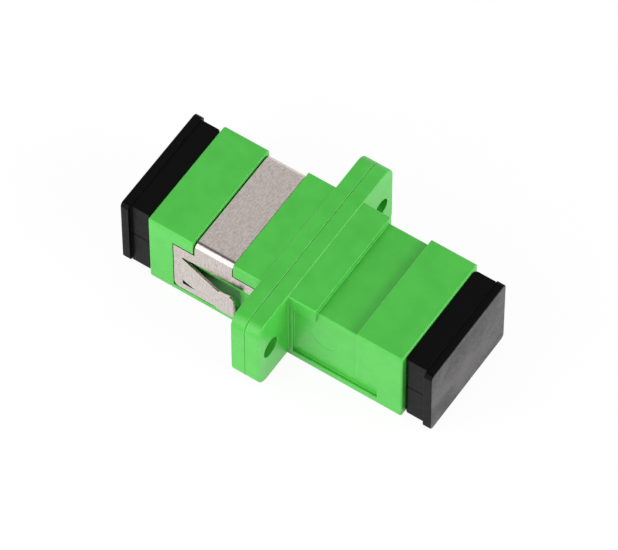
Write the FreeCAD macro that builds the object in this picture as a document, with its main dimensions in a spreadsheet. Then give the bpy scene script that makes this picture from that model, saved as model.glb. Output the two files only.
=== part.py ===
import FreeCAD, Part
import os
import re

# A fibre adapter of the square push-pull kind, with a panel flange, a spring clip and two dust caps.
# X runs along the light path and is zero at the seam of the housing halves.
# Y runs across, between the two screw holes. Z points up and is zero on the light path.
# Each moulding is drawn on the side of negative X, and its twin is given half a turn to the other side.

# Driving dimensions in millimetres: alias, value and meaning
SIZES = [
    ("body_half_length", 13.75, "seam to the mouth of one housing half"),
    ("body_width", 12.4, "across the body"),
    ("body_height", 9.3, "up the body"),
    ("body_edge", 0.25, "rounding of the upper long edges of the body"),
    ("body_foot", 0.45, "rounding of the lower long edges on the clip side"),
    ("plain_foot", 0.12, "rounding of the lower long edges on the plain side"),
    ("mouth_edge", 0.2, "rounding of the outer edges round a mouth"),
    ("flange_width", 22.0, "across the flange"),
    ("flange_top", 4.72, "top of the flange above the light path"),
    ("flange_foot", 4.3, "foot of the flange below the light path"),
    ("flange_half_thickness", 1.5, "half of the flange, one housing half"),
    ("flange_corner", 1.35, "rounding of the four flange corners"),
    ("flange_edge", 0.12, "rounding of the flange's outer face"),
    ("seam_bevel", 0.07, "bevel on the flange edges that meet at the seam"),
    ("screw_inset", 2.0, "from an end of the flange to its screw hole"),
    ("screw_hole", 2.2, "screw hole diameter"),
    ("port_width", 9.1, "inside width of a port"),
    ("port_height", 7.5, "inside height of a port"),
    ("key_width", 2.4, "width of the key slot over a port"),
    ("key_depth", 0.5, "depth of the key slot above a port"),
    ("key_length", 4.3, "length of the key slot"),
    ("seat_width", 10.4, "width of the pocket that holds a latch plate"),
    ("seat_height", 8.3, "height of the pocket that holds a latch plate"),
    ("groove_start", 4.45, "seam to the near side of the clip groove"),
    ("groove_width", 4.4, "width of the clip groove"),
    ("groove_depth", 0.6, "depth of the clip groove"),
    ("panel_start", 1.95, "seam to the sunk side panel"),
    ("panel_end", 11.1, "seam to the far end of the sunk side panel"),
    ("panel_depth", 0.32, "depth of the sunk side panel"),
    ("panel_ridge", 0.8, "ridge left along the bottom of the side"),
    ("panel_brow", 1.7, "strip left along the top of the side"),
    ("pad_height", 6.65, "raised pad at the end of the plain side panel, down from the top"),
    ("mark_place", 5.25, "seam to the middle of the ejector pin's mark in a side panel"),
    ("mark_level", 0.45, "height of that mark above the light path"),
    ("mark_width", 2.9, "diameter of that mark"),
    ("mark_depth", 0.04, "depth of that mark"),
    ("pocket_end", 3.9, "seam to the near end of the pocket that a spring tab is pushed into"),
    ("pocket_brow", 0.6, "top of that pocket above the light path"),
    ("pocket_foot", 3.0, "bottom of that pocket below the light path"),
    ("pocket_depth", 0.5, "depth of that pocket in the sunk panel"),
    ("corner_bend", 0.5, "rounding of the groove's end under the clip"),
    ("plain_bend", 0.15, "rounding of the groove's end on the plain side"),
    ("moulding_gap", 0.05, "clearance between parts that are fitted together"),
    ("latch_plate", 1.0, "thickness of a latch plate"),
    ("tube_outer", 4.6, "outer diameter of the sleeve tube"),
    ("tube_mouth", 2.9, "opening in the end of the sleeve tube"),
    ("tube_lip", 0.5, "wall at the end of the sleeve tube"),
    ("arm_length", 9.0, "seam to the tip of a latch arm"),
    ("arm_thickness", 0.75, "thickness of a latch arm"),
    ("arm_height", 3.4, "height of a latch arm"),
    ("arm_gap", 0.35, "room for a latch arm to flex outwards"),
    ("hook_reach", 0.5, "how far a hook stands in from its arm"),
    ("hook_base", 1.5, "length of a hook where it meets its arm"),
    ("hook_tip", 0.6, "length of a hook at its inner face"),
    ("sleeve_outer", 3.2, "outer diameter of the alignment sleeve"),
    ("sleeve_bore", 2.5, "bore of the alignment sleeve"),
    ("sleeve_length", 11.4, "length of the alignment sleeve"),
    ("sleeve_slot", 0.5, "slot along the alignment sleeve"),
    ("clip_sheet", 0.25, "thickness of the clip's sheet"),
    ("clip_gap", 0.02, "clearance between the clip and what it lies on"),
    ("clip_play", 0.06, "clearance at the cut edges of the clip's sides"),
    ("brow_play", 0.28, "clearance between the clip's sides and the strip of body above them"),
    ("strip_play", 0.16, "clearance on each side of the clip's strip in its groove"),
    ("clip_corner", 0.6, "rounding of the clip's lower corner"),
    ("window_inset", 0.75, "from the flange end of the clip's side to its window"),
    ("root_inset", 0.92, "from the far end of the clip's side to the root of its spring tab"),
    ("window_top", 1.38, "top of the window above the light path"),
    ("window_bottom", 2.95, "bottom of the window below the light path"),
    ("window_slant", 1.4, "length over which the top of the window rises from the tab's root"),
    ("root_cut", 0.2, "height of the window above the tab's root"),
    ("tab_root_top", 1.12, "top of the tab at its root, above the light path"),
    ("tab_waist_top", 0.5, "top of the tab where it is narrowest, above the light path"),
    ("tab_tip_top", 0.75, "top of the tab at its tip, above the light path"),
    ("tab_bottom", 2.3, "bottom of the tab below the light path"),
    ("tab_waist", 4.7, "length over which the tab narrows"),
    ("tab_length", 6.3, "length of the tab"),
    ("tab_straight", 4.2, "straight length of the tab, before it curls back"),
    ("tab_curl", 6.8, "radius inside the tab's curl"),
    ("tab_corner", 0.45, "rounding of the tab's upper corner"),
    ("tab_toe", 0.25, "rounding of the tab's lower corner"),
    ("tab_splay", 11.0, "angle between the tab and the side, in degrees"),
    ("cap_gap", 0.1, "clearance between a dust cap and its port"),
    ("cap_seat_gap", 0.05, "clearance between a dust cap and the end of the body"),
    ("skirt_length", 4.3, "how far a dust cap reaches into its port"),
    ("skirt_wall", 0.5, "wall of a dust cap's skirt"),
    ("grip_length", 2.2, "length of a dust cap's grip"),
    ("grip_width", 11.4, "width of a dust cap's grip"),
    ("grip_height", 8.7, "height of a dust cap's grip"),
    ("grip_corner", 0.35, "rounding of a grip's upright edges at the port"),
    ("lip_length", 0.85, "thickness of a dust cap's lip"),
    ("lip_width", 12.25, "width of a dust cap's lip"),
    ("lip_height", 8.7, "height of a dust cap's lip"),
    ("lip_rise", 0.15, "how far the lip sits above the middle of the clip side's cap"),
    ("lip_corner", 0.5, "rounding of the lip's four corners"),
    ("cap_end_wall", 0.7, "wall at the closed end of a dust cap"),
    ("cap_edge", 0.12, "rounding of a dust cap's other edges"),
    ("parting_line", 0.12, "depth and height of the mould line on a grip"),
    ("overrun", 1.0, "how far a cutting block runs past the faces it opens"),
]
ALIASES = {alias for alias, value, meaning in SIZES}
ABOUT_Y = FreeCAD.Vector(0, 1, 0)
ABOUT_Z = FreeCAD.Vector(0, 0, 1)
OUT_OF_THE_SIDE = FreeCAD.Rotation(FreeCAD.Vector(1, 0, 0), 90)
ALONG_X = FreeCAD.Rotation(ABOUT_Y, 90)
QUARTER_TURN = 90
TOWARDS_X = FreeCAD.Rotation(ABOUT_Z, -QUARTER_TURN)    # what ran along Y runs along X
NEAR = 0.001        # two places closer than this count as one

# Where the clip's sides start and end and where their tabs are bent out, as formulas of the sizes
CLIP_START = "-panel_start - clip_play"
CLIP_END = "-panel_end + clip_play"
TAB_ROOT = f"{CLIP_END} + root_inset"

doc = FreeCAD.newDocument("fibre_adapter")


# The sheet of sizes
def write_sheet():
    """Write the driving dimensions into a sheet, one row each."""
    sheet = doc.addObject("Spreadsheet::Sheet", "sizes")
    for row, (alias, value, meaning) in enumerate(SIZES, start=1):
        sheet.set(f"A{row}", alias)
        sheet.set(f"B{row}", str(value))
        sheet.setAlias(f"B{row}", alias)
        sheet.set(f"C{row}", meaning)
    doc.recompute()
    return sheet


def sized(formula):
    """Point each size named in a formula at its cell in the sheet."""
    return re.sub(r"[a-z_]+", lambda word: f"sizes.{word[0]}" if word[0] in ALIASES else word[0], formula)


def size(formula):
    """Work out a formula of sizes as a number."""
    return sheet.evalExpression(formula)


# Solids bound to the sheet
def block(name, along, across, up):
    """A box between a low and a high formula in X, Y and Z."""
    box = doc.addObject("Part::Box", name)
    sides = zip(("Length", "Width", "Height"), "xyz", (along, across, up))
    for side, axis, (low, high) in sides:
        box.setExpression(side, sized(f"({high}) - ({low})"))
        box.setExpression(f"Placement.Base.{axis}", sized(low))
    return box


def wedge(name, across, along, up):
    """A block from a near to a far formula in Y, whose X and Z bounds differ at its near and far ends."""
    solid = doc.addObject("Part::Wedge", name)
    solid.setExpression("Ymin", sized(across[0]))
    solid.setExpression("Ymax", sized(across[1]))
    for axis, (near, far) in (("X", along), ("Z", up)):
        for side, place in (("", near), ("2", far)):
            solid.setExpression(f"{axis}{side}min", sized(place[0]))
            solid.setExpression(f"{axis}{side}max", sized(place[1]))
    return solid


def middle(width):
    """The low and high formula of a width that is centred on zero."""
    return f"-({width}) / 2", f"({width}) / 2"


def rod(name, diameter, along, across="0"):
    """A round bar along X between a low and a high formula, at a place across."""
    low, high = along
    bar = doc.addObject("Part::Cylinder", name)
    bar.Placement = FreeCAD.Placement(FreeCAD.Vector(0, 0, 0), ALONG_X)
    bar.setExpression("Radius", sized(f"({diameter}) / 2"))
    bar.setExpression("Height", sized(f"({high}) - ({low})"))
    bar.setExpression("Placement.Base.x", sized(low))
    bar.setExpression("Placement.Base.y", sized(across))
    return bar


def joined(name, solids):
    """One solid from several."""
    fuse = doc.addObject("Part::MultiFuse", name)
    fuse.Shapes = solids
    fuse.Refine = True
    return fuse


def cut(name, base, tools):
    """A solid with other solids taken out of it."""
    waste = tools[0]
    if len(tools) > 1:
        waste = doc.addObject("Part::MultiFuse", f"{name}_waste")
        waste.Shapes = tools
    result = doc.addObject("Part::Cut", name)
    result.Base = base
    result.Tool = waste
    result.Refine = True
    return result


def other_side(name, solid):
    """The mirror image of a solid, across the middle."""
    twin = doc.addObject("Part::Mirroring", name)
    twin.Source = solid
    twin.Normal = FreeCAD.Vector(0, 1, 0)
    return twin


# Edges and their rounding
def runs_along(edge, axis):
    """Whether an edge is straight and lies along X, Y or Z."""
    if len(edge.Vertexes) < 2:
        return False
    step = edge.Vertexes[1].Point - edge.Vertexes[0].Point
    return abs(abs(step[axis]) - edge.Length) < NEAR


def lies_at(edge, axis, place):
    """Whether all of an edge lies at one place along X, Y or Z."""
    box = edge.BoundBox
    low, high = ((box.XMin, box.XMax), (box.YMin, box.YMax), (box.ZMin, box.ZMax))[axis]
    return abs(low - place) < NEAR and abs(high - place) < NEAR


def along_x_at(level):
    """A test for the edges along X that lie at one height."""
    return lambda edge: runs_along(edge, 0) and lies_at(edge, 2, level)


def softened(kind, name, base, radius, wanted):
    """A solid with the edges that pass a test rounded (Fillet) or bevelled (Chamfer)."""
    doc.recompute()
    edges = enumerate(base.Shape.Edges, start=1)
    amount = size(radius)
    feature = doc.addObject(f"Part::{kind}", name)
    feature.Base = base
    feature.Edges = [(index, amount, amount) for index, edge in edges if wanted(edge)]
    return feature


# The two housing halves
def flange(name):
    """Half of the flange: rounded corners, a soft outer face and a bevel at the seam."""
    plate = block(
        f"{name}_plate",
        ("-flange_half_thickness", "0"),
        middle("flange_width"),
        ("-flange_foot", "flange_top"),
    )
    face = -size("flange_half_thickness")
    corners = softened("Fillet", f"{name}_corners", plate, "flange_corner", lambda edge: runs_along(edge, 0))
    outer = softened("Fillet", f"{name}_outer", corners, "flange_edge", lambda edge: lies_at(edge, 0, face))
    return softened("Chamfer", f"{name}_seam", outer, "seam_bevel", lambda edge: lies_at(edge, 0, 0))


def barrel(name, foot):
    """The square body of one half, from inside the flange to the mouth."""
    body = block(
        f"{name}_bar",
        ("-body_half_length", "-flange_half_thickness / 2"),
        middle("body_width"),
        middle("body_height"),
    )
    mouth = -size("body_half_length")
    top = size("body_height / 2")
    long_edges = (("upper", "body_edge", top), ("lower", foot, -top))
    for place, radius, level in long_edges:
        body = softened("Fillet", f"{name}_{place}", body, radius, along_x_at(level))
    return softened("Fillet", f"{name}_mouth", body, "mouth_edge", lambda edge: lies_at(edge, 0, mouth))


def side_panel(name, pad_top):
    """What is sunk into one side: the panel, the way down from the groove and the end pocket."""
    depth = ("-body_width / 2 - overrun", "-body_width / 2 + panel_depth")
    groove = ("-groove_start - groove_width", "-groove_start")
    floor = "-body_height / 2 + panel_ridge"
    brow = "body_height / 2 - panel_brow"
    return [
        block(f"{name}_panel", (groove[0], "-panel_start"), depth, (floor, brow)),
        block(f"{name}_way_down", groove, depth, (f"{brow} - overrun", "body_height / 2 + overrun")),
        block(f"{name}_end", ("-panel_end", f"{groove[0]} + overrun"), depth, (floor, pad_top)),
    ]


def ejector_mark(name):
    """What the round mark of an ejector pin takes out of a side panel."""
    mark = doc.addObject("Part::Cylinder", name)
    mark.Placement = FreeCAD.Placement(FreeCAD.Vector(0, 0, 0), OUT_OF_THE_SIDE)
    mark.setExpression("Radius", sized("mark_width / 2"))
    mark.setExpression("Height", sized("overrun"))
    mark.setExpression("Placement.Base.x", sized("-mark_place"))
    mark.setExpression("Placement.Base.y", sized("-body_width / 2 + panel_depth + mark_depth"))
    mark.setExpression("Placement.Base.z", sized("mark_level"))
    return mark


def tab_pocket(name):
    """What the pocket behind a spring tab takes out of a side panel."""
    return block(
        name,
        (TAB_ROOT, "-pocket_end"),
        ("-body_width / 2 - overrun", "-body_width / 2 + panel_depth + pocket_depth"),
        ("-pocket_foot", "pocket_brow"),
    )


def housing(name, pad_top, bend, foot, panel_feature):
    """One half of the housing, with its mouth towards negative X."""
    shell = joined(f"{name}_shell", [flange(f"{name}_flange"), barrel(f"{name}_barrel", foot)])
    sunk = joined(f"{name}_sunk", [*side_panel(name, pad_top), panel_feature(f"{name}_feature")])
    screw_run = ("-flange_half_thickness - overrun", "overrun")
    waste = [
        sunk,
        other_side(f"{name}_sunk_twin", sunk),
        block(
            f"{name}_port",
            ("-body_half_length - overrun", "overrun"),
            middle("port_width"),
            middle("port_height"),
        ),
        block(
            f"{name}_seat",
            ("-latch_plate - moulding_gap", "overrun"),
            middle("seat_width"),
            middle("seat_height"),
        ),
        block(
            f"{name}_key",
            ("-body_half_length - overrun", "-body_half_length + key_length"),
            middle("key_width"),
            ("0", "port_height / 2 + key_depth"),
        ),
        block(
            f"{name}_groove",
            ("-groove_start - groove_width", "-groove_start"),
            middle("body_width + 2 * overrun"),
            ("body_height / 2 - groove_depth", "body_height / 2 + overrun"),
        ),
        rod(f"{name}_screw_near", "screw_hole", screw_run, "screw_inset - flange_width / 2"),
        rod(f"{name}_screw_far", "screw_hole", screw_run, "flange_width / 2 - screw_inset"),
    ]
    body = cut(f"{name}_body", shell, waste)
    at_level = along_x_at(size("body_height / 2 - groove_depth"))
    wall = size("body_width / 2 - panel_depth")
    return softened(
        "Fillet",
        name,
        body,
        bend,
        lambda edge: at_level(edge) and (lies_at(edge, 1, wall) or lies_at(edge, 1, -wall)),
    )


# The latches inside
def latch_arm(name):
    """One springy arm with its inward hook, on the side of negative Y."""
    outside = "-port_width / 2 + arm_gap"
    inside = f"{outside} + arm_thickness"
    arm = block(f"{name}_beam", ("-arm_length", "0"), (outside, inside), middle("arm_height"))
    hook_start = "-arm_length + hook_base"
    hook = wedge(
        f"{name}_hook",
        (f"{inside} - arm_thickness / 2", f"{inside} + hook_reach"),
        (("-arm_length", hook_start), (f"{hook_start} - hook_tip", hook_start)),
        (middle("arm_height"), middle("arm_height")),
    )
    return joined(name, [arm, hook])


def latch(name):
    """The plate, sleeve tube and two hooked arms that hold a plug."""
    tube_end = "-sleeve_length / 2 - moulding_gap - tube_lip"
    arm = latch_arm(f"{name}_arm")
    solids = [
        block(
            f"{name}_plate",
            ("-latch_plate", "0"),
            middle("seat_width - 2 * moulding_gap"),
            middle("seat_height - 2 * moulding_gap"),
        ),
        rod(f"{name}_tube", "tube_outer", (tube_end, "0")),
        arm,
        other_side(f"{name}_arm_twin", arm),
    ]
    waste = [
        rod(f"{name}_bore", "sleeve_outer + 2 * moulding_gap", (f"{tube_end} + tube_lip", "overrun")),
        rod(f"{name}_eye", "tube_mouth", (f"{tube_end} - overrun", "overrun")),
    ]
    return cut(name, joined(f"{name}_solid", solids), waste)


def sleeve(name):
    """The slotted ceramic sleeve that lines up two ferrules."""
    run = middle("sleeve_length")
    past = middle("sleeve_length + 2 * overrun")
    waste = [
        rod(f"{name}_bore", "sleeve_bore", past),
        block(f"{name}_slot", past, middle("sleeve_slot"), ("0", "sleeve_outer")),
    ]
    return cut(name, rod(f"{name}_bar", "sleeve_outer", run), waste)


# The spring clip
def clip_saddle(name):
    """The strip over the top of the body, bent down both sides."""
    inner_half = "body_width / 2 - panel_depth + clip_gap"
    inner_top = "body_height / 2 - groove_depth + clip_gap"
    foot = "body_height / 2 - panel_brow - brow_play - clip_sheet"
    run = ("-groove_start - groove_width + strip_play", "-groove_start - strip_play")
    outside = block(
        f"{name}_outside",
        run,
        middle(f"2 * ({inner_half} + clip_sheet)"),
        (foot, f"{inner_top} + clip_sheet"),
    )
    inside = block(
        f"{name}_inside",
        ("-groove_start - groove_width - overrun", "-groove_start + overrun"),
        middle(f"2 * ({inner_half})"),
        (f"{foot} - overrun", inner_top),
    )

    outside = softened(
        "Fillet",
        f"{name}_outer_bends",
        outside,
        "corner_bend + clip_gap + clip_sheet",
        along_x_at(size(f"{inner_top} + clip_sheet")),
    )
    inside = softened(
        "Fillet",
        f"{name}_inner_bends",
        inside,
        "corner_bend + clip_gap",
        along_x_at(size(inner_top)),
    )
    return cut(name, outside, [inside])


def tab_sheet(name):
    """The tab's bent sheet before its outline is cut: straight along X from the root, then curled back."""
    levels = ("-tab_bottom", "tab_root_top")
    straight = block(f"{name}_straight", ("0", "tab_straight"), ("-clip_sheet", "0"), levels)
    # Two quarter discs that start at the near side of their centre leave the curl between them
    discs = []
    for place, radius in (("outside", "tab_curl + clip_sheet"), ("inside", "tab_curl")):
        disc = doc.addObject("Part::Cylinder", f"{name}_{place}")
        disc.Angle = QUARTER_TURN
        disc.Placement = FreeCAD.Placement(FreeCAD.Vector(0, 0, 0), TOWARDS_X)
        disc.setExpression("Radius", sized(radius))
        disc.setExpression("Height", sized("tab_bottom + tab_root_top"))
        disc.setExpression("Placement.Base.x", sized("tab_straight"))
        disc.setExpression("Placement.Base.y", sized("tab_curl"))
        disc.setExpression("Placement.Base.z", sized("-tab_bottom"))
        discs.append(disc)
    outside, inside = discs
    return joined(name, [straight, cut(f"{name}_curl", outside, [inside])])


def tab_outline(name):
    """The waisted outline of the tab, as a thick block that runs along X."""
    low = "-tab_bottom"
    thick = middle("2 * overrun")
    root = wedge(
        f"{name}_root",
        ("0", "tab_waist"),
        (thick, thick),
        ((low, "tab_root_top"), (low, "tab_waist_top")),
    )
    tip = wedge(
        f"{name}_tip",
        ("tab_waist", "tab_length"),
        (thick, thick),
        ((low, "tab_waist_top"), (low, "tab_tip_top")),
    )
    outline = joined(f"{name}_flat", [root, tip])
    end = size("tab_length")
    corners = (("upper", "tab_corner", size("tab_tip_top")), ("lower", "tab_toe", size(low)))
    for place, radius, level in corners:
        outline = softened(
            "Fillet",
            f"{name}_{place}",
            outline,
            radius,
            lambda edge: lies_at(edge, 1, end) and lies_at(edge, 2, level),
        )
    outline.Placement = FreeCAD.Placement(FreeCAD.Vector(0, 0, 0), TOWARDS_X)
    return outline


def spring_tab(name):
    """The tab, shaped along X and then swung out of the side."""
    solids = [tab_sheet(f"{name}_sheet"), tab_outline(f"{name}_outline")]
    tab = doc.addObject("Part::MultiCommon", name)
    tab.Shapes = solids
    tab.Placement = FreeCAD.Placement(FreeCAD.Vector(0, 0, 0), TOWARDS_X)
    tab.setExpression("Placement.Rotation.Angle", sized("-tab_splay"))
    tab.setExpression("Placement.Base.x", sized(TAB_ROOT))
    tab.setExpression("Placement.Base.y", sized("-body_width / 2 + panel_depth - clip_gap"))
    return tab


def clip_side(name):
    """One side plate of the clip with its window and its spring tab."""
    inner = "-body_width / 2 + panel_depth - clip_gap"
    sheet_run = (f"{inner} - clip_sheet", inner)
    plate = block(
        f"{name}_sheet",
        (CLIP_END, CLIP_START),
        sheet_run,
        ("-body_height / 2 + panel_ridge + clip_play", "body_height / 2 - panel_brow - brow_play"),
    )
    end = size(CLIP_END)
    bottom = size("-body_height / 2 + panel_ridge + clip_play")
    plate = softened(
        "Fillet",
        f"{name}_plate",
        plate,
        "clip_corner",
        lambda edge: runs_along(edge, 1) and lies_at(edge, 0, end) and lies_at(edge, 2, bottom),
    )
    slant = wedge(
        f"{name}_slant",
        ("0", "window_slant"),
        (middle("overrun"), middle("overrun")),
        (("-window_bottom", "tab_root_top + root_cut"), ("-window_bottom", "window_top")),
    )
    slant.Placement = FreeCAD.Placement(FreeCAD.Vector(0, 0, 0), TOWARDS_X)
    slant.setExpression("Placement.Base.x", sized(TAB_ROOT))
    slant.setExpression("Placement.Base.y", sized(inner))
    window = block(
        f"{name}_window",
        (f"{TAB_ROOT} + window_slant", f"{CLIP_START} - window_inset"),
        (f"{inner} - overrun / 2", f"{inner} + overrun / 2"),
        ("-window_bottom", "window_top"),
    )
    return joined(name, [cut(f"{name}_frame", plate, [slant, window]), spring_tab(f"{name}_tab")])


def clip(name):
    """The whole clip, cut and bent from one sheet."""
    near = clip_side(f"{name}_near")
    return joined(name, [clip_saddle(f"{name}_saddle"), near, other_side(f"{name}_far", near)])


# The dust caps
def dust_cap(name):
    """A hollow plug with a grip and a lip, closed at its outer end."""
    seat = "-body_half_length - cap_seat_gap"
    skirt_end = "-body_half_length + skirt_length"
    lip_start = f"{seat} - grip_length"
    cap_end = f"{lip_start} - lip_length"
    at_port = size(seat)
    skirt = block(
        f"{name}_skirt",
        (seat, skirt_end),
        middle("port_width - 2 * cap_gap"),
        middle("port_height - 2 * cap_gap"),
    )
    skirt = softened(
        "Fillet",
        f"{name}_skirt_soft",
        skirt,
        "cap_edge",
        lambda edge: not lies_at(edge, 0, at_port),
    )
    grip = block(f"{name}_grip", (lip_start, seat), middle("grip_width"), middle("grip_height"))
    grip = softened(
        "Fillet",
        f"{name}_grip_corners",
        grip,
        "grip_corner",
        lambda edge: runs_along(edge, 2) and lies_at(edge, 0, at_port),
    )
    end = size(cap_end)
    lip = block(
        f"{name}_lip",
        (cap_end, lip_start),
        middle("lip_width"),
        ("lip_rise - lip_height / 2", "lip_rise + lip_height / 2"),
    )
    lip = softened(
        "Fillet",
        f"{name}_lip_corners",
        lip,
        "lip_corner",
        lambda edge: runs_along(edge, 0),
    )
    lip = softened("Fillet", f"{name}_lip_soft", lip, "cap_edge", lambda edge: lies_at(edge, 0, end))
    hollow = block(
        f"{name}_hollow",
        (f"{cap_end} + cap_end_wall", f"{skirt_end} + overrun"),
        middle("port_width - 2 * cap_gap - 2 * skirt_wall"),
        middle("port_height - 2 * cap_gap - 2 * skirt_wall"),
    )
    line_run = (lip_start, seat)
    line = block(
        f"{name}_line",
        line_run,
        ("-grip_width / 2 - overrun", "-grip_width / 2 + parting_line"),
        middle("parting_line"),
    )
    solid = joined(f"{name}_solid", [skirt, grip, lip])
    return cut(name, solid, [hollow, line, other_side(f"{name}_line_twin", line)])


# The sub-parts
def turned(piece, axis):
    """The same piece, given half a turn to the side of positive X."""
    piece.Placement = FreeCAD.Placement(FreeCAD.Vector(0, 0, 0), FreeCAD.Rotation(axis, 180))
    return piece


def check(pieces):
    """Stop if any object failed or any sub-part isn't one valid solid."""
    for item in doc.Objects:
        if "Invalid" in item.State or "Error" in item.State:
            raise RuntimeError(f"{item.Name} failed: {item.State}")
    for label, piece in pieces.items():
        shape = piece.Shape
        if shape.isNull() or not shape.isValid() or len(shape.Solids) != 1:
            raise RuntimeError(f"{label} is not one valid solid")


def main():
    """Build every sub-part, check it and write it out."""
    brow = "body_height / 2 - panel_brow"
    plain_pad = "body_height / 2 - pad_height"
    clip_half = housing("clip_side_housing", brow, "corner_bend", "body_foot", tab_pocket)
    plain_half = housing("plain_side_housing", plain_pad, "plain_bend", "plain_foot", ejector_mark)
    pieces = {
        "clip_side_housing": clip_half,
        "plain_side_housing": turned(plain_half, ABOUT_Z),
        "clip_side_latch": latch("clip_side_latch"),
        "plain_side_latch": turned(latch("plain_side_latch"), ABOUT_Z),
        "alignment_sleeve": sleeve("alignment_sleeve"),
        "spring_clip": clip("spring_clip"),
        "clip_side_dust_cap": dust_cap("clip_side_dust_cap"),
        "plain_side_dust_cap": turned(dust_cap("plain_side_dust_cap"), ABOUT_Y),
    }
    doc.recompute()
    check(pieces)
    os.makedirs("parts", exist_ok=True)
    for label, piece in pieces.items():
        piece.Label = label
        piece.Shape.exportStep(f"parts/{label}.step")
        box = piece.Shape.BoundBox
        print(f"{label}: {piece.Shape.Volume:.2f} mm3, X {box.XMin:.2f} to {box.XMax:.2f}")


sheet = write_sheet()
main()
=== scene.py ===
"""Dress the square fibre adapter for its picture.

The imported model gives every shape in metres. This script gives it surfaces, a studio and a camera.
"""

import logging
import math
from abc import ABC, abstractmethod
from dataclasses import dataclass
from enum import Enum

import bmesh
import bpy
from mathutils import Matrix, Vector


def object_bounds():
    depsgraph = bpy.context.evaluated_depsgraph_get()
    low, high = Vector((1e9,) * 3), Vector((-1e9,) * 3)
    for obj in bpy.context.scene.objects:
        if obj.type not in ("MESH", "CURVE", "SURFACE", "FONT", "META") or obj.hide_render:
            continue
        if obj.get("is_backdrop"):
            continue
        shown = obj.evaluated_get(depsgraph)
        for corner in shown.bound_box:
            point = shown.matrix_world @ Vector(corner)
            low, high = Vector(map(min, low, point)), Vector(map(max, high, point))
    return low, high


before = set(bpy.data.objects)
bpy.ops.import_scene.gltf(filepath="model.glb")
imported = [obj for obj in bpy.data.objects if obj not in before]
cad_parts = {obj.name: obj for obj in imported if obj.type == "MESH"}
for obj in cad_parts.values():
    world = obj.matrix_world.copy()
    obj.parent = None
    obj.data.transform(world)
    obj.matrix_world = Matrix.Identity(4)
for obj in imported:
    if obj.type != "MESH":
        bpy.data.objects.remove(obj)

Tree = bpy.types.NodeTree
Socket = bpy.types.NodeSocket

MM = 0.001
FULL_RANGE = (0.0, 1.0)
NOISE_RANGE = (0.3, 0.7)    # nearly all that a noise gives lies between these
WHITE = "#FFFFFF"
UP = Vector((0.0, 0.0, 1.0))
log = logging.getLogger("fibre_adapter")


# Small helpers
def linear(colour: str) -> tuple[float, float, float, float]:
    """Turn an sRGB colour into Blender's linear light.

    Args:
        colour: Six hex digits after a hash sign.

    Returns:
        Red, green, blue and a full alpha.
    """
    parts = [int(colour[start:start + 2], 16) / 255 for start in (1, 3, 5)]
    light = [part / 12.92 if part <= 0.04045 else ((part + 0.055) / 1.055) ** 2.4 for part in parts]
    return (*light, 1.0)


def direction(azimuth: float, elevation: float) -> Vector:
    """Point from the object to a place round it.

    Args:
        azimuth: Degrees round the object, from the near side (-Y) towards the plain end (+X).
        elevation: Degrees above the floor.

    Returns:
        A vector of length one.
    """
    turn, rise = math.radians(azimuth), math.radians(elevation)
    return Vector((math.sin(turn) * math.cos(rise), -math.cos(turn) * math.cos(rise), math.sin(rise)))


def reach_mm(node: str) -> float:
    """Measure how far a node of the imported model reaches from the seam, along X."""
    return max(abs(corner.co.x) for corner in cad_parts[node].data.vertices) / MM


def empty_material(name: str) -> tuple[bpy.types.Material, Tree]:
    """Make a material with no nodes in it.

    Args:
        name: The material's name.

    Returns:
        The material and its node tree.
    """
    material = bpy.data.materials.new(name)
    material.use_nodes = True
    material.node_tree.nodes.clear()
    return material, material.node_tree


def add_node(
    tree: Tree, kind: str, inputs: dict[str | int, object] | None = None, **settings: object
) -> bpy.types.Node:
    """Add one node with its settings and links.

    Args:
        tree: The node tree that gets the node.
        kind: Blender's name for the kind of node, without its prefix.
        inputs: What each input is set to, or the socket that feeds it, by the input's name or place.
        **settings: The node's own properties.

    Returns:
        The new node.
    """
    node = tree.nodes.new(f"ShaderNode{kind}")
    for name, value in settings.items():
        setattr(node, name, value)
    for name, value in (inputs or {}).items():
        if isinstance(value, Socket):
            tree.links.new(value, node.inputs[name])
        else:
            node.inputs[name].default_value = value
    return node


def calculate(tree: Tree, operation: str, *terms: Socket | float) -> Socket:
    """Add a Math node for one or two terms, and return its result."""
    return add_node(tree, "Math", dict(enumerate(terms)), operation=operation).outputs["Value"]


def remap(
    tree: Tree,
    value: Socket,
    source: tuple[float, float],
    target: tuple[float, float] = FULL_RANGE,
    **settings: object,
) -> Socket:
    """Stretch one range of values to another, and hold what lies outside it.

    Args:
        tree: The material's node tree.
        value: What is stretched.
        source: The range that it comes in.
        target: The range that it leaves in.
        **settings: The node's own properties.

    Returns:
        The stretched value.
    """
    ends = {"From Min": source[0], "From Max": source[1], "To Min": target[0], "To Max": target[1]}
    return add_node(tree, "MapRange", {"Value": value, **ends}, **settings).outputs["Result"]


def blend(tree: Tree, share: Socket, first: str | Socket, second: str | Socket) -> Socket:
    """Go from one colour to another.

    Args:
        tree: The material's node tree.
        share: Zero where the first colour shows, and one where the second does.
        first: A hex colour, or the socket that gives a colour.
        second: The same for the second colour.

    Returns:
        The blended colour.
    """
    ends = [linear(colour) if isinstance(colour, str) else colour for colour in (first, second)]
    # A Mix node has its share in place 0, its two colours in places 6 and 7 and their blend in output 2
    return add_node(tree, "Mix", {0: share, 6: ends[0], 7: ends[1]}, data_type="RGBA").outputs[2]


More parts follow.
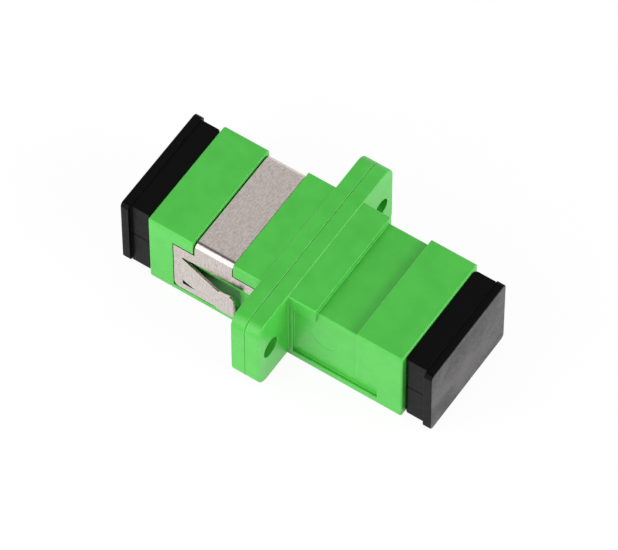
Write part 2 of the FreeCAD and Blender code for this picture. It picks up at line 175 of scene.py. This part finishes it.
def relief(
    tree: Tree, height: Socket, normal: Socket | None, depth_mm: float, strength: float = 1.0
) -> Socket:
    """Let a surface catch the light as if it had fine bumps.

    Args:
        tree: The material's node tree.
        height: Zero in the hollows and one on the tops.
        normal: The way that the surface faces without its bumps, or None for the mesh's own.
        depth_mm: How far the tops stand above the hollows.
        strength: The share of the bumps that shows.

    Returns:
        The way that the bumpy surface faces.
    """
    bumps = {"Height": height, "Strength": strength, "Distance": depth_mm * MM}
    faces = {} if normal is None else {"Normal": normal}
    return add_node(tree, "Bump", {**bumps, **faces}).outputs["Normal"]


# Finishes
class Pattern(Enum):
    """How the soft random marks of a noise lie."""

    SPOTS = "3D"
    BANDS = "1D"    # across one axis


@dataclass(frozen=True)
class Noise:
    """Soft random marks, with finer and fainter ones on them."""

    size_mm: float
    detail: float = 2.0
    roughness: float = 0.5
    pattern: Pattern = Pattern.SPOTS

    def build(self, tree: Tree, place: Socket) -> Socket:
        """Add the noise.

        Args:
            tree: The material's node tree.
            place: Where on the object a point is, or how far along the axis for bands.

        Returns:
            A value round a half.
        """
        marks = {"Scale": 1.0 / (self.size_mm * MM), "Detail": self.detail, "Roughness": self.roughness}
        source = "W" if self.pattern is Pattern.BANDS else "Vector"
        noise = add_node(tree, "TexNoise", {source: place, **marks}, noise_dimensions=self.pattern.value)
        return noise.outputs["Fac"]


@dataclass(frozen=True)
class EdgeSoftening:
    """The small round that every moulded or stamped edge has, and a mask of where it is."""

    radius_mm: float
    full_turn: float        # how far the normal has turned where the mask is full, as one less the cosine
    samples: int = 6

    def build(self, tree: Tree) -> tuple[Socket, Socket]:
        """Add the softened normal and the edge mask.

        Args:
            tree: The material's node tree.

        Returns:
            The softened normal, and a mask that is one on edges and zero on flat faces.
        """
        bevel = add_node(tree, "Bevel", {"Radius": self.radius_mm * MM}, samples=self.samples)
        soft, flat = bevel.outputs["Normal"], add_node(tree, "NewGeometry").outputs["Normal"]
        likeness = add_node(tree, "VectorMath", {0: soft, 1: flat}, operation="DOT_PRODUCT")
        return soft, remap(tree, likeness.outputs["Value"], (1.0, 1.0 - self.full_turn))


@dataclass(frozen=True)
class Finish(ABC):
    """A real material and the way that its surface was made."""

    name: str
    softening: EdgeSoftening

    @abstractmethod
    def surface(self, tree: Tree, place: Socket, normal: Socket, edge: Socket) -> dict[str, object]:
        """Work out what the shader gets, which each finish does in its own way.

        Args:
            tree: The material's node tree.
            place: Where on the object a point is.
            normal: The way that it faces, with softened edges.
            edge: One on edges and zero on flat faces.

        Returns:
            What each input of the shader gets, by the input's name.
        """

    def material(self) -> bpy.types.Material:
        """Build the material.

        Returns:
            The material, named for this finish.
        """
        material, tree = empty_material(self.name)
        place = add_node(tree, "TexCoord").outputs["Object"]
        normal, edge = self.softening.build(tree)
        shader = add_node(tree, "BsdfPrincipled", self.surface(tree, place, normal, edge))
        add_node(tree, "OutputMaterial", {"Surface": shader.outputs["BSDF"]})
        return material


@dataclass(frozen=True)
class MouldedPolyester(Finish):
    """Polyester (PBT), injection moulded in a spark-eroded tool.

    To the eye it is a satin, even colour with a wide soft sheen, a little cloudy where the melt ran,
    with a painted highlight along its edges and painted shade in its corners.
    """

    deep: str
    pale: str
    # the colour of the painted highlight along the edges
    edge: str
    # the colour of the painted shade in the corners
    corner: str
    painted_shade_mm: float
    clouds: Noise
    grain: Noise            # the tool's grain is about 0.03 mm, and is drawn coarser so that it shows
    grain_depth_mm: float
    roughness: tuple[float, float]
    painted_highlight_strength: float = 0.55
    painted_shade_openness: tuple[float, float] = (0.1, 0.4)   # from where a corner is deepest to where it ends
    corner_roughness: float = 0.95
    corner_samples: int = 8
    ior: float = 1.55

    def surface(self, tree: Tree, place: Socket, normal: Socket, edge: Socket) -> dict[str, object]:
        """Mix the cloudy body, the pale edges and the deep corners.

        Args:
            tree: The material's node tree.
            place: Where on the object a point is.
            normal: The way that it faces, with softened edges.
            edge: One on edges and zero on flat faces.

        Returns:
            What each input of the shader gets, by the input's name.
        """
        clouds = remap(tree, self.clouds.build(tree, place), NOISE_RANGE, interpolation_type="SMOOTHSTEP")
        body = blend(tree, clouds, self.deep, self.pale)
        # Paint a pale highlight along the edges
        outside = blend(tree, calculate(tree, "MULTIPLY", edge, self.painted_highlight_strength), body, self.edge)
        # Paint shade into the corners, darker where the ambient occlusion is lower
        reach = {"Distance": self.painted_shade_mm * MM}
        sky = add_node(tree, "AmbientOcclusion", reach, samples=self.corner_samples).outputs["AO"]
        openness = remap(tree, sky, self.painted_shade_openness)
        grain = self.grain.build(tree, place)
        polish = remap(tree, grain, NOISE_RANGE, self.roughness)
        # A Mix node has its two numbers in places 2 and 3 and their blend in output 0
        gloss = add_node(tree, "Mix", {0: openness, 2: self.corner_roughness, 3: polish}, data_type="FLOAT")
        return {
            "Base Color": blend(tree, openness, self.corner, outside),
            "Roughness": gloss.outputs[0],
            "Normal": relief(tree, grain, normal, self.grain_depth_mm),
            "IOR": self.ior,
        }


@dataclass(frozen=True)
class RolledStainless(Finish):
    """Stainless spring steel, cold rolled, then stamped and bent.

    To the eye it is a grey that leans to pink, with a fine mottle, faint rolling lines along the strip,
    duller patches where it was handled, and bright cut edges.
    """

    base: str
    mottle: str
    cut_edge: str
    spots: Noise
    lines: Noise            # sized along the lines
    line_mm: float          # rolling lines are about 0.02 mm apart, and are drawn coarser so that they show
    line_depth_mm: float
    bloom: Noise
    roughness: tuple[float, float]
    mottle_range: tuple[float, float] = (0.8, 1.2)      # of the spots and the lines, added up

    def surface(self, tree: Tree, place: Socket, normal: Socket, edge: Socket) -> dict[str, object]:
        """Mix the mottle, the rolling lines, the dull patches and the cut edges.

        Args:
            tree: The material's node tree.
            place: Where on the object a point is.
            normal: The way that it faces, with softened edges.
            edge: One on edges and zero on flat faces.

        Returns:
            What each input of the shader gets, by the input's name.
        """
        # The strip lies along Y on the top and along Z on the sides, so Y less Z changes along all of it
        parts = add_node(tree, "SeparateXYZ", {0: place}).outputs
        along = calculate(tree, "SUBTRACT", parts["Y"], parts["Z"])
        across = calculate(tree, "MULTIPLY", parts["X"], self.lines.size_mm / self.line_mm)
        strip = add_node(tree, "CombineXYZ", {"X": across, "Y": along}).outputs["Vector"]
        lines = self.lines.build(tree, strip)
        marks = calculate(tree, "ADD", self.spots.build(tree, place), lines)
        sheet = blend(tree, remap(tree, marks, self.mottle_range), self.base, self.mottle)
        return {
            "Base Color": blend(tree, edge, sheet, self.cut_edge),
            "Metallic": 1.0,
            "Roughness": remap(tree, self.bloom.build(tree, place), NOISE_RANGE, self.roughness),
            "Normal": relief(tree, lines, normal, self.line_depth_mm),
        }


@dataclass(frozen=True)
class GroundZirconia(Finish):
    """Zirconia ceramic, fired and then ground round.

    To the eye it is a warm, dense white with a clear shine and very fine rings from the grinding.
    """

    base: str
    rings: Noise            # grinding marks are about 0.01 mm apart, and are drawn coarser so that they show
    ring_depth_mm: float
    roughness: tuple[float, float]
    ior: float = 2.1

    def surface(self, tree: Tree, place: Socket, normal: Socket, edge: Socket) -> dict[str, object]:
        """Turn fine rings round the light path.

        Args:
            tree: The material's node tree.
            place: Where on the object a point is.
            normal: The way that it faces, with softened edges.
            edge: One on edges and zero on flat faces.

        Returns:
            What each input of the shader gets, by the input's name.
        """
        rings = self.rings.build(tree, add_node(tree, "SeparateXYZ", {0: place}).outputs["X"])
        return {
            # Paint a white highlight along the edges
            "Base Color": blend(tree, edge, self.base, WHITE),
            "Roughness": remap(tree, rings, FULL_RANGE, self.roughness),
            "Normal": relief(tree, rings, normal, self.ring_depth_mm),
            "IOR": self.ior,
        }


@dataclass(frozen=True)
class SoftBlackPolyethylene(Finish):
    """Soft polyethylene with carbon black, moulded in a polished tool.

    To the eye it is black from above and shows a grey shine at a low angle, with wipe marks that run
    across, a haze on fine dust specks and edges, and a painted grey reflection on the flat end, in streaks.
    """

    base: str
    haze: str
    # the colour of the painted grey reflection on the flat end
    painted_end_reflection: str
    wipes: Noise            # sized along the wipes
    wipe_mm: float
    clouds: Noise
    dust: Noise
    end_mm: float           # how far from the seam the flat end is
    roughness: tuple[float, float]
    dust_range: tuple[float, float] = (0.6, 0.8)
    dust_strength: float = 0.5
    end_reflection_range: tuple[float, float] = (1.28, 1.66)     # of the wipes, the clouds and the dust, added up
    end_reflection_strength: tuple[float, float] = (0.32, 0.92)
    wipe_depth_mm: float = 0.01
    wipe_strength: float = 0.5
    ior: float = 1.51
    specular: float = 0.08

    def surface(self, tree: Tree, place: Socket, normal: Socket, edge: Socket) -> dict[str, object]:
        """Mix the black, the dust, the wipe marks and the painted reflection on the flat end.

        Args:
            tree: The material's node tree.
            place: Where on the object a point is.
            normal: The way that it faces, with softened edges.
            edge: One on edges and zero on flat faces.

        Returns:
            What each input of the shader gets, by the input's name.
        """
        squeeze = self.wipes.size_mm / self.wipe_mm
        drawn_out = add_node(tree, "VectorMath", {0: place, 1: (squeeze, 1.0, squeeze)}, operation="MULTIPLY")
        wipes = self.wipes.build(tree, drawn_out.outputs["Vector"])
        dust = self.dust.build(tree, place)
        specks = remap(tree, dust, self.dust_range, (0.0, self.dust_strength))
        # The haze colour goes on the dust specks and also makes every edge paler
        plain = blend(tree, calculate(tree, "MAXIMUM", specks, edge), self.base, self.haze)
        outwards = calculate(tree, "ABSOLUTE", add_node(tree, "SeparateXYZ", {0: place}).outputs["X"])
        end = (self.end_mm - self.softening.radius_mm, self.end_mm)
        # The flat end gets a painted grey reflection, streaked by the wipes, the clouds and the dust
        on_end = remap(tree, outwards, (end[0] * MM, end[1] * MM))
        smears = calculate(tree, "ADD", wipes, self.clouds.build(tree, place))
        end_reflection_streaks = remap(tree, calculate(tree, "ADD", smears, dust), self.end_reflection_range, self.end_reflection_strength)
        return {
            "Base Color": blend(tree, calculate(tree, "MULTIPLY", on_end, end_reflection_streaks), plain, self.painted_end_reflection),
            "Roughness": remap(tree, wipes, NOISE_RANGE, self.roughness),
            "Normal": relief(tree, wipes, normal, self.wipe_depth_mm, self.wipe_strength),
            "IOR": self.ior,
            "Specular IOR Level": self.specular,
        }


HOUSING_GREEN = MouldedPolyester(
    name="polyester_housing_green",
    softening=EdgeSoftening(radius_mm=0.13, full_turn=0.2),
    deep="#3DB036",
    pale="#43B73C",
    # edge: the colour of the painted edge highlight
    edge="#8CE785",
    # corner: the colour of the painted shade in the corners
    corner="#0B3F08",
    painted_shade_mm=2.0,
    clouds=Noise(size_mm=2.2, detail=4.0, roughness=0.55),
    grain=Noise(size_mm=0.14),
    grain_depth_mm=0.003,
    roughness=(0.28, 0.42),
)
LATCH_GREEN = MouldedPolyester(
    name="polyester_latch_green",
    softening=EdgeSoftening(radius_mm=0.08, full_turn=0.25),
    deep="#37AB32",
    pale="#3EB239",
    # edge: the colour of the painted edge highlight
    edge="#5CC656",
    # corner: the colour of the painted shade in the corners
    corner="#0F4A0B",
    painted_shade_mm=1.0,
    clouds=Noise(size_mm=1.6, detail=4.0, roughness=0.55),
    grain=Noise(size_mm=0.1),
    grain_depth_mm=0.002,
    roughness=(0.28, 0.4),
)
CLIP_STEEL = RolledStainless(
    name="stainless_rolled_clip",
    softening=EdgeSoftening(radius_mm=0.05, full_turn=0.3),
    base="#DDD3CE",
    mottle="#C0B6B1",
    cut_edge="#D8D4CF",
    spots=Noise(size_mm=0.19, detail=3.0, roughness=0.6),
    lines=Noise(size_mm=0.7, detail=3.0, roughness=0.6),
    line_mm=0.13,
    line_depth_mm=0.004,
    bloom=Noise(size_mm=1.1, detail=5.0, roughness=0.65),
    roughness=(0.14, 0.24),
)
SLEEVE_WHITE = GroundZirconia(
    name="zirconia_ground_sleeve",
    softening=EdgeSoftening(radius_mm=0.05, full_turn=0.3),
    base="#ECE9DF",
    rings=Noise(size_mm=0.12, pattern=Pattern.BANDS),
    ring_depth_mm=0.001,
    roughness=(0.08, 0.24),
)
CAP_BLACK = SoftBlackPolyethylene(
    name="polyethylene_soft_black",
    softening=EdgeSoftening(radius_mm=0.06, full_turn=0.3),
    base="#030303",
    haze="#0E0D0D",
    # the colour of the painted grey reflection on the flat end
    painted_end_reflection="#575556",
    wipes=Noise(size_mm=4.0, detail=4.0, roughness=0.6),
    wipe_mm=0.38,
    clouds=Noise(size_mm=3.0),
    dust=Noise(size_mm=0.16),
    end_mm=reach_mm("plain_side_dust_cap"),
    roughness=(0.3, 0.45),
)


# Sub-assemblies
@dataclass
class SubAssembly:
    """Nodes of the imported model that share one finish."""

    nodes: tuple[str, ...]
    finish: Finish

    def dress(self) -> list[str]:
        """Give every node of the sub-assembly its finish.

        Returns:
            The names of the dressed nodes.
        """
        material = self.finish.material()
        for name in self.nodes:
            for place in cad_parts[name].material_slots:
                place.material = material
        return list(self.nodes)


@dataclass
class Housing(SubAssembly):
    """The two halves of the flanged housing, welded at the seam."""

    nodes: tuple[str, ...] = ("clip_side_housing", "plain_side_housing")
    finish: Finish = HOUSING_GREEN


@dataclass
class Latches(SubAssembly):
    """The two hooked latches that sit back to back inside the housing."""

    nodes: tuple[str, ...] = ("clip_side_latch", "plain_side_latch")
    finish: Finish = LATCH_GREEN


@dataclass
class Sleeve(SubAssembly):
    """The slotted sleeve that lines up two ferrules."""

    nodes: tuple[str, ...] = ("alignment_sleeve",)
    finish: Finish = SLEEVE_WHITE


@dataclass
class SpringClip(SubAssembly):
    """The sheet clip that holds the adapter in its panel."""

    nodes: tuple[str, ...] = ("spring_clip",)
    finish: Finish = CLIP_STEEL


@dataclass
class DustCaps(SubAssembly):
    """The two caps that plug the ports."""

    nodes: tuple[str, ...] = ("clip_side_dust_cap", "plain_side_dust_cap")
    finish: Finish = CAP_BLACK


# The studio
class LampRole(Enum):
    """What a lamp does for the picture."""

    KEY = "key"         # stands near and lights the near side, most of all beside the clip's end
    FILL = "fill"       # lights the plain end
    SHEEN = "sheen"     # stands behind and lays a faint sheen on the flat tops
    GLINT = "glint"     # lays the white glint along the clip's bend


@dataclass(frozen=True)
class Softbox:
    """A square lamp that faces the object."""

    role: LampRole
    azimuth: float
    elevation: float
    distance: float
    width: float
    level: float            # what it adds to a white surface that faces it
    mirrored: bool = True   # whether gloss shows the lamp itself

    def build(self) -> bpy.types.Object:
        """Make the lamp and aim it at the object.

        Returns:
            The lamp's object.
        """
        lamp = bpy.data.lights.new(f"softbox_{self.role.value}", "AREA")
        lamp.shape = "SQUARE"
        lamp.size = self.width
        lamp.energy = self.level * (math.pi * self.distance) ** 2
        towards = direction(self.azimuth, self.elevation)
        holder = bpy.data.objects.new(lamp.name, lamp)
        holder.location = towards * self.distance
        holder.rotation_mode = "QUATERNION"
        holder.rotation_quaternion = towards.to_track_quat("Z", "Y")
        holder.visible_glossy = self.mirrored
        bpy.context.scene.collection.objects.link(holder)
        return holder


@dataclass(frozen=True)
class PaperFloor:
    """A sheet of matt white paper under the object.

    To the eye it is nearly pure white, with only a breath of shadow round the object.
    """

    width: float = 6.0
    paper: str = "#FCFCFC"
    glow_share: float = 0.93
    fibres: Noise = Noise(size_mm=0.6, detail=3.0)
    fibre_depth_mm: float = 0.02
    fibre_strength: float = 0.2

    def material(self) -> bpy.types.Material:
        """Build the paper, which shows mostly as white to the camera, metal and glass.

        Returns:
            The material.
        """
        material, tree = empty_material("paper_matt_white")
        fibres = self.fibres.build(tree, add_node(tree, "TexCoord").outputs["Object"])
        tooth = relief(tree, fibres, None, self.fibre_depth_mm, self.fibre_strength)
        paper = add_node(tree, "BsdfDiffuse", {"Color": linear(self.paper), "Normal": tooth})
        white = add_node(tree, "Emission", {"Color": linear(WHITE), "Strength": 1.0})
        ray = add_node(tree, "LightPath").outputs
        seen = calculate(tree, "MAXIMUM", ray["Is Camera Ray"], ray["Is Glossy Ray"])
        shown = calculate(tree, "MAXIMUM", seen, ray["Is Transmission Ray"])
        share = calculate(tree, "MULTIPLY", shown, self.glow_share)
        sides = {0: share, 1: paper.outputs["BSDF"], 2: white.outputs["Emission"]}
        mixed = add_node(tree, "MixShader", sides)
        add_node(tree, "OutputMaterial", {"Surface": mixed.outputs["Shader"]})
        return material

    def build(self, level: float) -> bpy.types.Object:
        """Lay the sheet.

        Args:
            level: The height of the floor.

        Returns:
            The floor's object.
        """
        sheet = bmesh.new()
        bmesh.ops.create_grid(sheet, x_segments=1, y_segments=1, size=self.width / 2)
        mesh = bpy.data.meshes.new("paper_floor")
        sheet.to_mesh(mesh)
        sheet.free()
        mesh.materials.append(self.material())
        floor = bpy.data.objects.new("paper_floor", mesh)
        floor.location.z = level
        bpy.context.scene.collection.objects.link(floor)
        floor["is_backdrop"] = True
        return floor


@dataclass(frozen=True)
class Camera:
    """A long lens from the near side and the plain end, looking steeply down."""

    azimuth: float = 33.851
    elevation: float = 56.471
    roll: float = 0.178
    distance: float = 547.29 * MM
    aside: float = 0.308 * MM
    above: float = 0.455 * MM
    lens: float = 351.3
    sensor: float = 36.0
    nearest: float = 10 * MM    # it sees nothing nearer than this
    farthest: float = 20.0      # nor anything farther off than this

    def build(self) -> bpy.types.Object:
        """Make the camera and give it to the scene.

        Returns:
            The camera's object.
        """
        back = direction(self.azimuth, self.elevation)
        roll = Matrix.Rotation(math.radians(self.roll), 3, -back)
        right = roll @ UP.cross(back).normalized()
        up = back.cross(right)
        lens = bpy.data.cameras.new("camera")
        lens.lens = self.lens
        lens.sensor_width = self.sensor
        lens.clip_start = self.nearest
        lens.clip_end = self.farthest
        place = Matrix.Translation(back * self.distance - right * self.aside - up * self.above)
        holder = bpy.data.objects.new("camera", lens)
        holder.matrix_world = place @ Matrix((right, up, back)).transposed().to_4x4()
        bpy.context.scene.collection.objects.link(holder)
        bpy.context.scene.camera = holder
        return holder


@dataclass(frozen=True)
class Studio:
    """The paper floor, the pale room with its dark ceiling, the lamps and the camera."""

    lamps: tuple[Softbox, ...] = (
        Softbox(
            LampRole.KEY, azimuth=-20.0, elevation=22.0, distance=0.15, width=0.11, level=0.36, mirrored=False
        ),
        Softbox(LampRole.FILL, azimuth=100.0, elevation=22.0, distance=1.1, width=0.7, level=0.7),
        Softbox(LampRole.SHEEN, azimuth=-146.0, elevation=56.0, distance=1.1, width=0.55, level=0.035),
        Softbox(LampRole.GLINT, azimuth=-30.0, elevation=34.0, distance=1.1, width=1.2, level=0.5),
    )
    floor: PaperFloor = PaperFloor()
    camera: Camera = Camera()
    # How bright the room is at a height above the horizon, where 1 is straight up
    room: tuple[tuple[float, float], ...] = (
        (0.0, 1.15),
        (0.3, 1.0),
        (0.6, 0.65),
        (0.8, 0.36),
        (0.9, 0.18),
        (1.0, 0.12),
    )

    def light_room(self) -> None:
        """Light the world as a pale room that gets darker towards the ceiling."""
        world = bpy.data.worlds.new("studio_room")
        world.use_nodes = True
        tree = world.node_tree
        tree.nodes.clear()
        towards = add_node(tree, "TexCoord").outputs["Generated"]
        ramp = add_node(tree, "ValToRGB", {"Fac": add_node(tree, "SeparateXYZ", {0: towards}).outputs["Z"]})
        stops = ramp.color_ramp.elements
        stops[0].position, stops[-1].position = self.room[0][0], self.room[-1][0]
        for height, _ in self.room[1:-1]:
            stops.new(height)
        for stop, (_, level) in zip(stops, self.room):
            stop.color = (level, level, level, 1.0)
        room = add_node(tree, "Background", {"Color": ramp.outputs["Color"]})
        add_node(tree, "OutputWorld", {"Surface": room.outputs["Background"]})
        bpy.context.scene.world = world

    def build(self, floor_level: float) -> None:
        """Set up the whole studio.

        Args:
            floor_level: The height of the floor.
        """
        self.floor.build(floor_level)
        self.light_room()
        for lamp in self.lamps:
            lamp.build()
        self.camera.build()
        bpy.context.scene.view_settings.view_transform = "Standard"


def main() -> None:
    """Dress every piece and set up the studio, with the floor under the model."""
    logging.basicConfig(level=logging.INFO, format="%(message)s")
    bpy.context.view_layer.update()
    cad_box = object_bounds()
    for sub_assembly in (Housing(), Latches(), Sleeve(), SpringClip(), DustCaps()):
        dressed = sub_assembly.dress()
        log.info("%s: %s in %s", type(sub_assembly).__name__, ", ".join(dressed), sub_assembly.finish.name)
    Studio().build(cad_box[0].z)
    bpy.context.view_layer.update()


if __name__ == "__main__":
    main()
